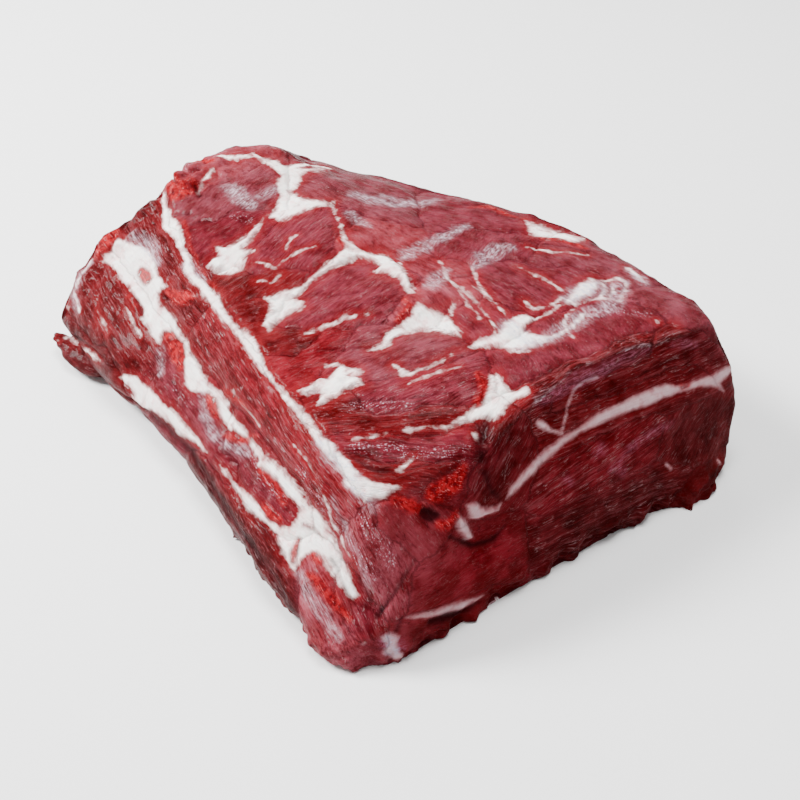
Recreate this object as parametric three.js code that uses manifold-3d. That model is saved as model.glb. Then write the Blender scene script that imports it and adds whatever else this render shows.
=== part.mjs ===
// A boneless block of beef from the loin, trimmed of its bones and lying with that side up.
// Millimetres, +Z up. +X points at the freshly cut end, -Y at the long side that shows the strip muscle.
// The block rests on its flat underside, and the origin is under the middle of its outer box.
import * as THREE from "three";
import { mergeVertices } from "three/addons/utils/BufferGeometryUtils.js";
import Module from "manifold-3d";

const wasm = await Module();
wasm.setup();

// Driving dimensions
const CENTRE = new THREE.Vector3(2.26, 2.95, 0); // middle of the outer box, in the frame of the sizes below
const BACK_X = -158; // old end of the block, at the table
const FRONT_X = 154; // cut end, at the table
const END_LEAN = 0.24; // how far the cut end leans back for each millimetre of height
const WEDGE_Z = 58; // height of the upper muscles on the cut end
const WEDGE_LEAN = 0.3; // how much more the end leans from there up
const FAT_A = 5.0; // thickness of the fat seam under the upper muscles
const FAT_C = 6.5; // thickness of the fat seam over the lower muscle
const GAP = 0.3; // clearance between neighbouring solids

// Long lines of the block, each as [y, z] at the eight stations along its length
const STATION_X = [-158, -110, -60, -5, 55, 105, 127, 141];
const RAILS = {
  foot: [[-108, 0], [-112, 0], [-108, 0], [-107, 0], [-110, 0], [-113, 0], [-113, 0], [-107, 0]],
  bulge: [[-121, 26], [-122, 25], [-118, 23], [-116, 20], [-119, 17], [-121, 14], [-120, 13], [-113, 13]],
  lowerSeam: [[-81, 60], [-84, 58], [-86, 56], [-90, 51], [-95, 48], [-97, 41], [-99, 27], [-88, 26]],
  crest: [[-41, 79], [-53, 78], [-62, 79], [-69, 79], [-77, 79], [-81, 78], [-78, 75], [-47, 60]],
  ridge: [[22, 89], [20, 92], [9, 91], [12, 91], [6, 91], [0, 91], [2, 92], [6, 94]],
  brow: [[50, 72], [69, 74], [90, 77], [115, 80], [127, 81], [128, 82], [126, 84], [121, 83]],
  flank: [[62, 36], [84, 37], [104, 38], [124, 38], [132, 38], [134, 38], [134, 38], [133, 38]],
  heel: [[50, 0], [72, 0], [92, 0], [110, 0], [119, 0], [120, 0], [121, 0], [122, 0]],
};
const STRIP_SWELL = 4; // how far the strip muscle stands out between its two seams
const STRIP_SWELL_FROM = 0.4; // share of the length over which that swelling grows from the back

// Where the fat seams run inside: shares of the width, and heights; a pair is at the back and at the cut end
const UPPER_SEAM = {
  dip: { share: [0.2, 0.12], z: [66, 50] },
  rise: { share: 0.36, z: 63 },
  far: { share: 0.7, z: 57 },
};
const UPPER_SEAM_EXIT = { past: 3, z: 52 }; // on the far side
const LOWER_SEAM_RUN = [[14, 0.62], [36, 0.3]]; // in from the left side, and its share of its height there
const LOWER_SEAM_EXIT = 58; // in from the left side, on the table
const OUTSIDE = 16; // how far the seams' sheets pass out of the block before they are cut to it

// Relief
// The hollows that the ribs left: x at RIB_GAP.middle, and how far it leans back for each millimetre of y.
const RIB_GAPS = [
  { x: -81, lean: 0.55 },
  { x: -11, lean: 0.05 },
  { x: 46, lean: -0.15 },
  { x: 112, lean: -0.2 },
];
const RIB_GAP = { depth: 5.5, half: 9, middle: -20, near: [-72, -52], ridge: [18, 34] };
const FAR_GROOVE = { lines: [44, 84], depth: 2.5, half: 7, backShare: 0.5 }; // between the long far muscles
const BACK_KNOB = { x: -150, y: -18, half: 13, up: 5 }; // torn muscle that stands up at the old end
const FOOT_LOBE = { y: 96, half: 20, height: 34, out: 12 }; // swelling low on the cut end
const TOE_ROUND = { under: 4, height: 10 }; // cut end's lower edge, rolled under
const EYE_SWELL = { y: 62, z: 26, out: 3, halfY: 55, halfZ: 28 };
const CORNER_PIT = { y: -40, z: 44, deep: 7, half: 13 };
const CORNER_TRIM = { y: -91, back: 12, half: 24 }; // cut end's low near corner, trimmed round
const BACK_TRIM = { y: -96, forward: 9, half: 26 }; // old end's near corner, trimmed round
const FLAP = { x: -128, y: -118, length: 25, width: 14, thick: 7, curl: 4, turn: 0.3, taper: [0.4, 1.1] };

const BODY_STEPS = [31, 20, 9]; // along, across and up
const SEAM_OVERHANG = 1.5 / BODY_STEPS[0]; // share of the length by which the seams' sheets start early
const SEAM_STEPS = [(BODY_STEPS[0] + 3) / 2, 9, 1]; // so their cross-sections fall midway between the block's

const fat = (name) => finish(name, 0xe9d9cb, 0.42);
const lean = (name, colour) => finish(name, colour, 0.38);

function finish(name, colour, roughness) {
  return new THREE.MeshStandardMaterial({ name, color: colour, roughness, metalness: 0 });
}

// A curve through [y, z] points of one cross-section.
function sectionCurve(points) {
  return new THREE.CatmullRomCurve3(points.map(([y, z]) => new THREE.Vector3(0, y, z)), false, "centripetal");
}

// A long line as a function of the place along the block, from 0 at the back to 1 at the cut end.
function rail(points) {
  const curve = new THREE.CatmullRomCurve3(
    points.map(([y, z], i) => new THREE.Vector3(STATION_X[i], y, z)),
    false,
    "catmullrom",
    0.5,
  );
  return (along) => {
    const p = curve.getPoint(THREE.MathUtils.clamp(along, 0, 1));
    return [p.y, p.z];
  };
}

const rails = Object.fromEntries(Object.entries(RAILS).map(([name, points]) => [name, rail(points)]));
const stationLine = STATION_X.map((x) => new THREE.Vector3(x, 0, 0));
const station = new THREE.CatmullRomCurve3(stationLine, false, "catmullrom", 0.5);

function hill(distance, half) {
  return Math.exp(-((distance / half) ** 2));
}

// The two end faces, as x over the cross-section.
function backFace(y) {
  return BACK_X + BACK_TRIM.forward * THREE.MathUtils.smoothstep(BACK_TRIM.y - y, 0, BACK_TRIM.half);
}

function frontFace(y, z) {
  const lobe = FOOT_LOBE.out * hill(y - FOOT_LOBE.y, FOOT_LOBE.half) * Math.max(0, 1 - z / FOOT_LOBE.height);
  const eye = EYE_SWELL.out * hill(y - EYE_SWELL.y, EYE_SWELL.halfY) * hill(z - EYE_SWELL.z, EYE_SWELL.halfZ);
  const pit = CORNER_PIT.deep * hill(Math.hypot(y - CORNER_PIT.y, z - CORNER_PIT.z), CORNER_PIT.half);
  const trim = CORNER_TRIM.back * THREE.MathUtils.smoothstep(CORNER_TRIM.y - y, 0, CORNER_TRIM.half);
  const wedge = WEDGE_LEAN * Math.max(0, z - WEDGE_Z);
  const toe = TOE_ROUND.under * Math.max(0, 1 - z / TOE_ROUND.height) ** 2;
  return FRONT_X - END_LEAN * z - wedge - toe + lobe + eye - pit - trim;
}

// Where a point of a cross-section lies along the length.
function lengthwise(along, y, z) {
  const x = station.getPoint(THREE.MathUtils.clamp(along, 0, 1)).x;
  const share = (x - STATION_X[0]) / (STATION_X.at(-1) - STATION_X[0]);
  return THREE.MathUtils.lerp(backFace(y), frontFace(y, z), share);
}

// The four sides of the cross-section at one place along the block.
function section(along) {
  const at = Object.fromEntries(Object.entries(rails).map(([name, line]) => [name, line(along)]));
  const [seamY, seamZ] = at.lowerSeam;
  const [crestY, crestZ] = at.crest;
  const rise = Math.hypot(crestY - seamY, crestZ - seamZ);
  const swell = (STRIP_SWELL * THREE.MathUtils.smoothstep(along, 0, STRIP_SWELL_FROM)) / rise;
  const strip = [
    (seamY + crestY) / 2 - swell * (crestZ - seamZ),
    (seamZ + crestZ) / 2 + swell * (crestY - seamY),
  ];
  return {
    left: sectionCurve([at.foot, at.bulge, at.lowerSeam, strip, at.crest]),
    top: sectionCurve([at.crest, at.ridge, at.brow]),
    right: sectionCurve([at.heel, at.flank, at.brow]),
    bottom: sectionCurve([at.foot, at.heel]),
  };
}

// A point inside the cross-section, across from left to right and up from the table, blended from the sides.
function inSection(sides, across, up) {
  const [left, right] = [sides.left.getPointAt(up), sides.right.getPointAt(up)];
  const [low, high] = [sides.bottom.getPointAt(across), sides.top.getPointAt(across)];
  const [lowLeft, lowRight] = [sides.bottom.getPointAt(0), sides.bottom.getPointAt(1)];
  const [highLeft, highRight] = [sides.top.getPointAt(0), sides.top.getPointAt(1)];
  const mix = THREE.MathUtils.lerp;
  return ["y", "z"].map((axis) => {
    const lowLine = mix(lowLeft[axis], lowRight[axis], across);
    const straight = mix(lowLine, mix(highLeft[axis], highRight[axis], across), up);
    return mix(left[axis], right[axis], across) + mix(low[axis], high[axis], up) - straight;
  });
}

// How far the top sinks at the rib gaps and between the long far muscles, and rises at the torn knob.
function topRelief(x, y, along) {
  const { smoothstep, lerp } = THREE.MathUtils;
  const between = smoothstep(y, ...RIB_GAP.near) * (1 - smoothstep(y, ...RIB_GAP.ridge));
  const fromGap = (gap) => x - gap.x + gap.lean * (y - RIB_GAP.middle);
  const ribs = RIB_GAPS.reduce((sum, gap) => sum + hill(fromGap(gap), RIB_GAP.half), 0);
  const spread = lerp(FAR_GROOVE.backShare, 1, along);
  const grooves = FAR_GROOVE.lines.reduce((sum, line) => sum + hill(y - line * spread, FAR_GROOVE.half), 0);
  const knob = BACK_KNOB.up * hill(Math.hypot(x - BACK_KNOB.x, y - BACK_KNOB.y), BACK_KNOB.half);
  return RIB_GAP.depth * between * Math.min(1, ribs) + FAR_GROOVE.depth * grooves - knob;
}

// The whole block: the top's relief fades towards the table.
function block() {
  const sections = new Map();
  return warpedBox(BODY_STEPS, (along, across, up) => {
    if (!sections.has(along)) sections.set(along, section(along));
    const [y, z] = inSection(sections.get(along), across, up);
    const x = lengthwise(along, y, z);
    return new THREE.Vector3(x, y, z - up ** 4 * topRelief(x, y, along));
  });
}

// A box whose points are moved to where place(along, across, up) puts them, as one closed solid.
function warpedBox(steps, place) {
  const box = new THREE.BoxGeometry(1, 1, 1, ...steps);
  const p = box.attributes.position;
  for (let i = 0; i < p.count; i++) {
    const q = place(p.getX(i) + 0.5, p.getY(i) + 0.5, p.getZ(i) + 0.5);
    p.setXYZ(i, q.x, q.y, q.z);
  }
  return solid(box);
}

// A closed geometry as a solid, without the flat triangles at a ball's poles.
function solid(geometry) {
  geometry.deleteAttribute("normal");
  geometry.deleteAttribute("uv");
  const merged = mergeVertices(geometry, 1e-3);
  const triVerts = [];
  for (let i = 0; i < merged.index.count; i += 3) {
    const corners = [0, 1, 2].map((k) => merged.index.getX(i + k));
    if (new Set(corners).size === 3) triVerts.push(...corners);
  }
  return new wasm.Manifold(
    new wasm.Mesh({
      numProp: 3,
      vertProperties: new Float32Array(merged.attributes.position.array),
      triVerts: new Uint32Array(triVerts),
    }),
  );
}

// A fat seam: a thin sheet along one curve in every cross-section, which passes out of the block all round.
function seam(curveAt, thickness) {
  return warpedBox(SEAM_STEPS, (end, across, up) => {
    const reach = THREE.MathUtils.lerp(-SEAM_OVERHANG, 1 + SEAM_OVERHANG, end);
    const along = THREE.MathUtils.clamp(reach, 0, 1);
    const curve = curveAt(along);
    const p = curve.getPointAt(across);
    const t = curve.getTangentAt(across);
    const side = (up - 0.5) * thickness;
    const y = p.y - t.z * side;
    const z = p.z + t.y * side;
    return new THREE.Vector3(lengthwise(along, y, z) + (reach - along) * (FRONT_X - BACK_X), y, z);
  });
}

// From the crest, down under the upper muscles and out low on the far side.
function upperSeamCurve(along) {
  const [crestY, crestZ] = rails.crest(along);
  const [flankY] = rails.flank(along);
  const mix = THREE.MathUtils.lerp;
  const across = (share) => mix(crestY, flankY, share);
  const { dip, rise, far } = UPPER_SEAM;
  return sectionCurve([
    [crestY - OUTSIDE, crestZ + OUTSIDE / 3],
    [crestY, crestZ],
    [across(mix(...dip.share, along)), mix(...dip.z, along ** 3)],
    [across(rise.share), rise.z],
    [across(far.share), far.z],
    [flankY + UPPER_SEAM_EXIT.past, UPPER_SEAM_EXIT.z],
    [flankY + OUTSIDE, UPPER_SEAM_EXIT.z],
  ]);
}

// From the left side, down and in to the table.
function lowerSeamCurve(along) {
  const [seamY, seamZ] = rails.lowerSeam(along);
  return sectionCurve([
    [seamY - OUTSIDE, seamZ + OUTSIDE / 2],
    [seamY, seamZ],
    ...LOWER_SEAM_RUN.map(([inward, left]) => [seamY + inward, seamZ * left]),
    [seamY + LOWER_SEAM_EXIT, -3],
    [seamY + LOWER_SEAM_EXIT + OUTSIDE / 3, -OUTSIDE],
  ]);
}

// The flap of thin muscle that lies on the table at the back near corner: a ball drawn out to a curled tip.
function flap() {
  const ball = new THREE.SphereGeometry(1, 18, 9);
  const p = ball.attributes.position;
  for (let i = 0; i < p.count; i++) {
    const [x, y, z] = [p.getX(i), p.getY(i), p.getZ(i)];
    const taper = THREE.MathUtils.lerp(...FLAP.taper, (x + 1) / 2);
    const curl = FLAP.curl * Math.max(0, -x) ** 2;
    p.setXYZ(i, x * FLAP.length, y * FLAP.width * taper, FLAP.thick + curl + z * FLAP.thick * taper);
  }
  const turned = ball.applyMatrix4(new THREE.Matrix4().makeRotationZ(FLAP.turn));
  return solid(turned.translate(FLAP.x, FLAP.y, 0));
}

// One node: the solid as a named mesh, with the block's middle at the origin.
function node(name, part, material) {
  const { vertProperties, triVerts } = part.getMesh();
  const geometry = new THREE.BufferGeometry();
  geometry.setAttribute("position", new THREE.BufferAttribute(vertProperties, 3));
  geometry.setIndex(new THREE.BufferAttribute(triVerts, 1));
  geometry.translate(-CENTRE.x, -CENTRE.y, -CENTRE.z);
  geometry.computeVertexNormals();
  const mesh = new THREE.Mesh(geometry, material);
  mesh.name = name;
  return mesh;
}

// The two largest pieces of a cut solid, the higher one first.
function higherAndLower(cut) {
  const middle = (piece) => {
    const box = piece.boundingBox();
    return (box.min[2] + box.max[2]) / 2;
  };
  const pieces = cut.decompose().sort((a, b) => b.volume() - a.volume());
  return pieces.slice(0, 2).sort((a, b) => middle(b) - middle(a));
}

function largest(cut) {
  return cut.decompose().sort((a, b) => b.volume() - a.volume())[0];
}

const body = block();
const [topBlock, below] = higherAndLower(body.subtract(seam(upperSeamCurve, FAT_A + 2 * GAP)));
const [eye, underMuscle] = higherAndLower(below.subtract(seam(lowerSeamCurve, FAT_C + 2 * GAP)));
const upperFat = largest(body.intersect(seam(upperSeamCurve, FAT_A)));
const lowerFat = largest(
  body.intersect(seam(lowerSeamCurve, FAT_C)).subtract(seam(upperSeamCurve, FAT_A + 2 * GAP)),
);

const striploin = new THREE.Group();
striploin.name = "beef_striploin";
striploin.add(
  node("top_block", topBlock, lean("lean", 0x8c2b35)),
  node("upper_fat_seam", upperFat, fat("fat")),
  node("eye_and_strip", eye, lean("lean_dark", 0x74202c)),
  node("lower_fat_seam", lowerFat, fat("fat")),
  node("lower_muscle", underMuscle.add(flap()), lean("lean_side", 0x8a2630)),
);

export default striploin;
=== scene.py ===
"""A raw beef block on a pale floor: the CAD pieces get their muscles, fat, silverskin and torn edges here."""
import math

import bmesh
import bpy
import numpy as np
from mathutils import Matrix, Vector
from mathutils.bvhtree import BVHTree
from mathutils.kdtree import KDTree


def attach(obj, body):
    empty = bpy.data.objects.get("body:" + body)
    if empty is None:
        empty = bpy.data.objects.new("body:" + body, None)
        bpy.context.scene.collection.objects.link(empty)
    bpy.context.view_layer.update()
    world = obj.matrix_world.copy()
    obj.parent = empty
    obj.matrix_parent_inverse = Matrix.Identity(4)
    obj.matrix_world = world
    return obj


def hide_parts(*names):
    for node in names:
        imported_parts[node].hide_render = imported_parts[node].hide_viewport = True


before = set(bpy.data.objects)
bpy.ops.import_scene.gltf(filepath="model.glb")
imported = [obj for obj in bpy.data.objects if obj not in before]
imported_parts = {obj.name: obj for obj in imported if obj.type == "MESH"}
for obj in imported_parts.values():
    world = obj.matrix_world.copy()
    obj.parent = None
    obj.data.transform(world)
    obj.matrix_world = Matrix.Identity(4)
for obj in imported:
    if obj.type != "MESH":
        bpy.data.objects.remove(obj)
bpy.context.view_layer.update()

# Sizes below are millimetres; Blender's are metres.
MM = 0.001
NODES = ["top_block", "upper_fat_seam", "eye_and_strip", "lower_fat_seam", "lower_muscle"]
FAT_NODES = [1, 3]

# The skin: its grid, how far the CAD pieces grow so that they join, and how often their facets are smoothed.
VOXEL = 1.1
SEAL = 0.3
FACET_ROUNDS = 60
SEED = 7

# How much brighter the lean looks in this light than its own colour.
BRIGHTNESS = 3.6

# How far from a line or an outline its distance is worked out, and how much in sight
# a place has to be before the outlines count there.
REACH = 9.0
SHOWN_SHARE = 0.35

# Inner walls: how deep under the skin they end, their longest edge, and how far a CAD face looks
# for its neighbour.
WALL_DEPTH = 1.5
WALL_STEP = 5.0
WALL_ROUNDS = 5
WALL_LOOK = 1.5
WALL_START = 0.02

# The strip that joins the skin's open edge to the walls' rim: its longest reach and most steps along the rim.
STRIP_REACH = 40.0
STRIP_STEPS = 60

# Relief on the skin: the height and the width of each kind.
RELIEF = {
    "waves": (1.1, 24.0),
    "hidden waves": (1.3, 34.0),
    "lobes": (1.5, 9.0),
    "furrows": (0.4, 1.8),
    "bundles": (0.3, 3.4),
    "edges": (2.0, 11.0),
    "foot": (3.8, 9.0),
    "old end": (2.8, 13.0),
    "tufts": (0.9, 4.0),
    "fat": (0.3, 3.0),
}

# The ragged foot reaches up to FOOT_HEIGHT, and only where x is past FOOT_FROM.
FOOT_HEIGHT = 16.0
FOOT_FROM = 40.0

# The old end turns torn over this stretch towards -x, and the fresh cut lies where x is past CUT_FROM.
OLD_END = (122.0, 148.0)
CUT_FROM = 90.0

# How far the whole skin sinks, so that its relief stays near the CAD surface.
SINK = 1.0

# The torn knob at the back of the top: its middle and how far it reaches.
KNOB = np.array([-148.0, -32.0, 88.0])
KNOB_REACH = np.array([16.0, 18.0, 16.0])

# The camera stands where the photo's did.
AZIMUTH = 54.0
ELEVATION = 42.0
LENS = 49.45
SENSOR = 36.0
DISTANCE = 574.8
AIM = np.array([37.74, -12.95, 36.9])
PICTURE = 800


def camera_axes():
    """The camera's directions to the right, upwards and backwards."""
    a = math.radians(AZIMUTH)
    e = math.radians(ELEVATION)
    back = np.array([math.sin(a) * math.cos(e), -math.cos(a) * math.cos(e), math.sin(e)])
    right = np.array([math.cos(a), math.sin(a), 0.0])
    return right, np.cross(back, right), back


RIGHT, UPWARD, BACK = camera_axes()
EYE = AIM + DISTANCE * BACK
FOCAL = PICTURE * LENS / SENSOR

# Each line over the surface is a list of (x, y, half width): x and y are the place in the photo,
# in pixels from its top left corner, and the half width is in millimetres.
FAT = {
    "crest": [(163, 193, 1.0), (165, 208, 2.4), (169, 221, 4.4), (177, 233, 3.0), (183, 250, 1.6),
              (188, 268, 2.4), (199, 284, 2.6), (211, 296, 3.4), (220, 311, 2.8), (229, 324, 1.8),
              (241, 335, 2.2), (253, 348, 3.4), (261, 365, 1.6), (272, 380, 1.2), (285, 395, 1.8),
              (299, 412, 2.0), (315, 434, 2.6), (330, 452, 3.0), (347, 474, 3.2), (362, 494, 2.0)],
    "bulge rim": [(92, 259, 0.8), (81, 275, 1.0), (75, 294, 1.0), (79, 312, 0.6)],
    "bulge tip": [(61, 293, 0.6), (68, 308, 0.7)],
    "flap edge": [(53, 346, 1.0), (60, 341, 1.0), (69, 338, 0.8), (83, 348, 1.0), (100, 361, 1.0)],
    "back edge": [(220, 160, 1.4), (237, 160, 1.9), (254, 155, 1.4), (267, 161, 1.8), (284, 171, 3.6),
                  (292, 166, 3.0), (310, 164, 1.8), (328, 168, 1.6)],
    "knob fat": [(214, 173, 1.0), (208, 178, 1.6), (198, 193, 1.1)],
    "torn tuft top": [(325, 366, 0.5), (335, 365, 0.6)],
    "lobe fleck": [(393, 364, 0.4), (403, 371, 1.2), (412, 372, 1.1), (424, 368, 0.6), (440, 360, 0.4),
                   (458, 349, 0.5)],
    "lobe line": [(410, 382, 0.3), (430, 374, 0.4), (460, 365, 0.3)],
    "front line": [(352, 437, 0.4), (392, 432, 0.35), (430, 427, 0.35), (450, 427, 0.4)],
    "front specks": [(473, 432, 0.5), (477, 443, 0.5)],
    "ridge fork": [(509, 326, 2.0), (521, 340, 1.5), (540, 342, 1.1), (559, 334, 1.0), (572, 325, 1.0),
                   (586, 315, 1.2)],
    "far thread": [(455, 284, 0.7), (474, 297, 0.8), (490, 318, 0.5), (497, 331, 0.5)],
    "far thread two": [(465, 281, 0.4), (484, 290, 0.5), (505, 315, 0.6)],
    "far thread three": [(458, 300, 0.5), (451, 309, 0.6), (455, 322, 0.4)],
    "far rim fleck": [(531, 213, 0.8), (537, 216, 0.8)],
    "far line": [(524, 246, 0.5), (553, 252, 0.5), (587, 256, 0.4)],
    "far tip": [(629, 270, 1.6), (636, 275, 1.6), (644, 281, 0.8)],
    "band specks": [(656, 321, 0.8), (657, 322, 0.8)],
    "band specks two": [(675, 323, 0.8), (676, 324, 0.8)],
    "end wedge": [(540, 424, 1.4), (546, 427, 2.0), (551, 431, 0.9), (563, 433, 0.7)],
    "lobe thread": [(332, 203, 0.4), (338, 220, 0.6), (344, 236, 0.9), (348, 246, 1.0)],
    "lobe thread two": [(334, 322, 0.4), (350, 317, 0.6), (368, 314, 0.4)],
    "lobe thread three": [(306, 332, 0.5), (324, 326, 0.6), (342, 320, 0.5)],
    "lobe curl": [(250, 262, 0.4), (264, 262, 0.5), (276, 268, 0.6), (282, 262, 0.5), (292, 256, 0.6),
                  (316, 247, 0.4)],
    "lobe curl two": [(286, 250, 0.5), (290, 240, 0.9), (296, 236, 0.6)],
    "near curl": [(256, 282, 0.5), (272, 284, 0.7), (282, 272, 0.5)],
    "far comb": [(440, 258, 0.4), (448, 276, 0.7), (460, 292, 0.6), (470, 306, 0.8), (480, 318, 0.7)],
    "far comb two": [(470, 262, 0.4), (480, 284, 0.5), (492, 300, 0.5), (504, 314, 0.6)],
    "far comb three": [(400, 262, 0.5), (404, 272, 0.8), (414, 286, 0.7), (418, 292, 0.5)],
    "rim comb": [(562, 299, 0.8), (548, 306, 0.6), (534, 308, 0.7), (524, 300, 0.4)],
    "rim comb two": [(572, 310, 0.7), (564, 324, 0.6), (574, 336, 0.4)],
    "rim comb three": [(520, 268, 0.3), (540, 278, 0.5), (560, 290, 0.5)],
    "strip comb": [(322, 498, 0.5), (330, 522, 0.7), (342, 548, 0.6), (352, 566, 0.4)],
    "strip comb two": [(294, 444, 0.4), (306, 462, 0.6), (316, 478, 0.4)],
    "strip comb three": [(232, 390, 0.4), (244, 408, 0.6), (258, 426, 0.5)],
    "bulge comb": [(96, 300, 0.4), (100, 318, 0.6), (108, 334, 0.4)],
    "bulge comb two": [(126, 308, 0.4), (134, 324, 0.7), (140, 336, 0.6)],
    "front comb": [(396, 470, 0.5), (404, 464, 0.7), (412, 458, 0.4)],
    "net rim": [(586, 281, 0.8), (600, 281, 1.0), (616, 279, 1.0), (625, 282, 0.9), (623, 292, 0.8),
                (619, 300, 0.7)],
    "net foot": [(574, 304, 0.9), (590, 299, 1.0), (606, 298, 0.9), (619, 299, 0.8)],
    "net bar": [(602, 283, 0.7), (604, 291, 0.6), (602, 298, 0.6)],
    "net bar two": [(612, 281, 0.5), (613, 290, 0.6), (610, 297, 0.5)],
    "ridge shred": [(516, 330, 0.7), (522, 342, 0.8), (518, 352, 0.6)],
    "ridge shred two": [(530, 336, 0.6), (532, 346, 0.7), (526, 352, 0.4)],
    "ridge shred three": [(506, 344, 0.6), (510, 352, 0.6)],
    "ridge side": [(534, 318, 0.8), (546, 314, 0.7), (558, 306, 0.6)],
    "end thread": [(563, 432, 0.7), (567, 416, 0.7), (571, 401, 0.5), (575, 391, 0.6), (586, 382, 0.4),
                   (600, 377, 0.3)],
    "end spot": [(668, 465, 0.8), (672, 469, 1.2)],
    "end spot two": [(719, 461, 1.0), (721, 464, 0.8)],
    "foot fleck": [(362, 645, 0.8), (365, 643, 0.5)],
}

# The broad white patches: each is its outline in the photo, in pixels.
PATCH = {
    "wide seam": [(118, 235), (128, 243), (140, 246), (152, 250), (156, 262), (158, 278), (168, 286),
                  (158, 293), (160, 305), (170, 312), (178, 322), (183, 338), (190, 352), (198, 362),
                  (202, 372), (210, 384), (218, 393), (225, 402), (229, 411), (236, 421), (232, 432),
                  (222, 424), (216, 410), (211, 397), (202, 393), (192, 391), (186, 385), (184, 372),
                  (186, 358), (182, 344), (172, 334), (163, 331), (158, 345), (150, 336), (140, 318),
                  (141, 308), (136, 298), (128, 286), (120, 278), (112, 266), (102, 262), (104, 256),
                  (112, 248)],
    "seam tail": [(236, 421), (246, 432), (254, 444), (266, 456), (262, 464), (252, 452), (244, 440),
                  (234, 428)],
    "second seam": [(218, 464), (226, 473), (236, 487), (250, 497), (261, 507), (269, 519), (279, 526),
                    (290, 527), (298, 520), (300, 511), (292, 500), (283, 491), (272, 476), (258, 463),
                    (262, 456), (274, 463), (288, 478), (300, 495), (308, 507), (317, 512), (324, 522),
                    (331, 541), (341, 562), (349, 578), (357, 597), (352, 600), (340, 588), (329, 572),
                    (323, 560), (316, 553), (306, 556), (299, 562), (292, 570), (285, 557), (280, 546),
                    (272, 533), (262, 521), (248, 511), (238, 498), (228, 482)],
    "bottom edge": [(120, 377), (134, 376), (143, 386), (157, 396), (171, 408), (185, 424), (200, 440),
                    (207, 454), (196, 445), (182, 435), (166, 421), (152, 411), (140, 409), (132, 402),
                    (129, 392)],
    "back bar": [(262, 158), (276, 160), (284, 165), (292, 163), (303, 168), (324, 168), (303, 173),
                 (298, 186), (288, 190), (304, 198), (320, 199), (334, 202), (318, 205), (302, 212),
                 (284, 219), (268, 218), (276, 206), (280, 196), (276, 184), (283, 172), (272, 166)],
    "back tuft": [(216, 246), (224, 248), (234, 244), (244, 238), (256, 226), (263, 220), (257, 231),
                  (248, 241), (241, 248), (254, 250), (246, 254), (243, 262), (238, 268), (228, 272),
                  (218, 270), (207, 265), (212, 258), (218, 256)],
    "bar one": [(262, 298), (280, 294), (300, 286), (310, 278), (322, 266), (336, 256), (350, 243),
                (358, 249), (372, 254), (388, 257), (400, 266), (408, 280), (415, 293), (408, 291),
                (398, 279), (388, 275), (374, 273), (384, 267), (373, 260), (360, 259), (344, 263),
                (330, 269), (316, 278), (305, 287), (300, 294), (292, 297), (305, 302), (306, 306),
                (296, 310), (284, 317), (278, 322), (270, 332), (263, 326), (268, 314), (271, 306)],
    "bar two": [(366, 350), (380, 344), (386, 334), (398, 326), (410, 318), (417, 305), (426, 308),
                (440, 314), (452, 319), (462, 333), (450, 332), (436, 330), (420, 328), (408, 330),
                (396, 338), (384, 346)],
    "bar three": [(490, 372), (498, 374), (504, 386), (514, 392), (525, 388), (529, 394), (520, 400),
                  (510, 402), (502, 414), (496, 420), (480, 418), (464, 420), (450, 425), (470, 411),
                  (482, 401), (488, 388)],
    "torn tuft": [(298, 389), (310, 385), (314, 378), (328, 378), (340, 367), (361, 370), (358, 374),
                  (346, 376), (362, 377), (364, 383), (350, 388), (340, 394), (334, 398), (326, 404),
                  (317, 406), (320, 398), (324, 391), (318, 388), (310, 395), (302, 392)],
    "crest foot": [(344, 470), (360, 477), (376, 483), (400, 486), (392, 492), (386, 498), (376, 499),
                   (362, 502), (352, 494), (341, 481)],
    "ridge knot": [(468, 345), (480, 338), (498, 335), (506, 326), (514, 318), (526, 314), (534, 318),
                   (524, 328), (536, 334), (550, 337), (560, 332), (548, 341), (536, 344), (522, 349),
                   (510, 351), (500, 344)],
    "silver net": [(562, 305), (572, 293), (579, 284), (590, 280), (600, 283), (596, 291), (586, 297),
                   (574, 302)],
    "far rim": [(524, 220), (540, 225), (556, 229), (572, 235), (586, 240), (576, 243), (556, 241),
                (540, 235), (528, 230)],
    "end seam": [(507, 501), (512, 488), (524, 472), (536, 460), (549, 447), (562, 438), (578, 430),
                 (592, 420), (606, 410), (624, 402), (640, 394), (656, 388), (668, 384), (678, 386),
                 (690, 383), (700, 380), (716, 374), (731, 365), (737, 370), (728, 378), (722, 384),
                 (727, 393), (716, 388), (700, 388), (684, 392), (668, 398), (650, 406), (632, 412),
                 (614, 418), (600, 426), (580, 434), (566, 444), (556, 454), (544, 465), (530, 479),
                 (518, 491)],
    "end stub": [(467, 506), (476, 503), (484, 508), (496, 507), (503, 504), (500, 512), (486, 516),
                 (480, 521), (471, 518)],
    "end stub two": [(460, 513), (466, 519), (471, 531), (475, 538), (466, 541), (459, 531), (455, 520)],
    "foot fat": [(381, 638), (390, 633), (401, 637), (398, 647), (404, 656), (393, 659), (383, 655),
                 (386, 646)],
    "foot seam": [(406, 619), (430, 613), (450, 607), (470, 601), (486, 597), (470, 608), (450, 616),
                  (430, 620)],
}

# The patches that stand up from the meat as torn shreds.
TUFTS = ["back tuft", "bar one", "torn tuft", "end stub", "end stub two"]

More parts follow.
